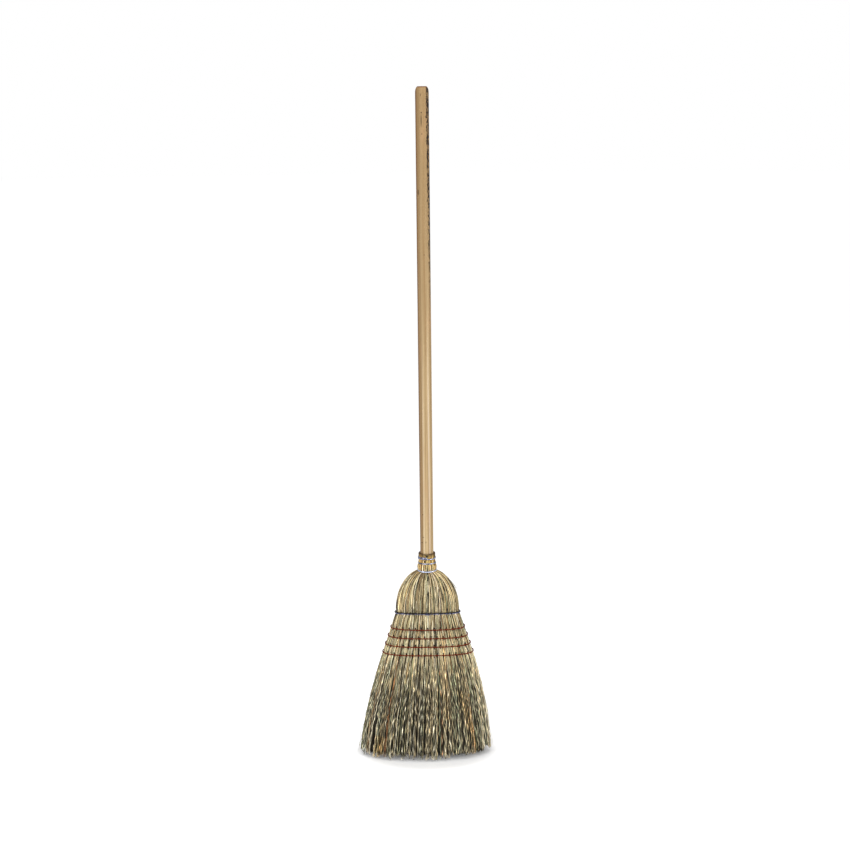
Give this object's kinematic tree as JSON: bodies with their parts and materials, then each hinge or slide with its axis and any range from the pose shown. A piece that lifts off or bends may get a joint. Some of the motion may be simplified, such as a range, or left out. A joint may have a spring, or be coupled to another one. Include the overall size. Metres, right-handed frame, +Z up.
{
  "type": "warehouse broom",
  "caption": "Upright corn broom with a long round wooden handle, a wire-bound neck, a domed head sewn flat with twine, and a flared sweep of straw fibres.",
  "frame": {"origin": "on the floor under the middle of the sweep, at the bottom centre of the whole broom", "axes": "+Z up along the handle, +X along the broad face of the head, -Y out of the front face, where the shoulder wire's twist and the front tack are"},
  "size_m": [0.2832, 0.1322, 1.45],
  "materials": {
    "handle_wood": "satin",
    "broomcorn_straw": "matte",
    "galvanised_wire": "satin",
    "shoulder_wire_steel": "satin",
    "red_brown_twine": "matte",
    "blued_tack_steel": "satin"
  },
  "bodies": {
    "root": {"handle": "handle_wood", "inner_bundle": "broomcorn_straw", "inner_wire": "galvanised_wire", "shoulder_bundle_left": "broomcorn_straw", "shoulder_bundle_right": "broomcorn_straw", "front_hurl_1": "broomcorn_straw", "front_hurl_2": "broomcorn_straw", "front_hurl_3": "broomcorn_straw", "front_hurl_4": "broomcorn_straw", "front_hurl_5": "broomcorn_straw", "back_hurl_1": "broomcorn_straw", "back_hurl_2": "broomcorn_straw", "back_hurl_3": "broomcorn_straw", "back_hurl_4": "broomcorn_straw", "back_hurl_5": "broomcorn_straw", "side_hurl_left": "broomcorn_straw", "side_hurl_right": "broomcorn_straw", "neck_wire": "galvanised_wire", "shoulder_wire": "shoulder_wire_steel", "stitch_twine_1": "red_brown_twine", "stitch_twine_2": "red_brown_twine", "stitch_twine_3": "red_brown_twine", "stitch_twine_4": "red_brown_twine", "neck_tack_front": "blued_tack_steel", "neck_tack_lower": "blued_tack_steel", "neck_tack_rim": "blued_tack_steel"}
  },
  "joints": []
}
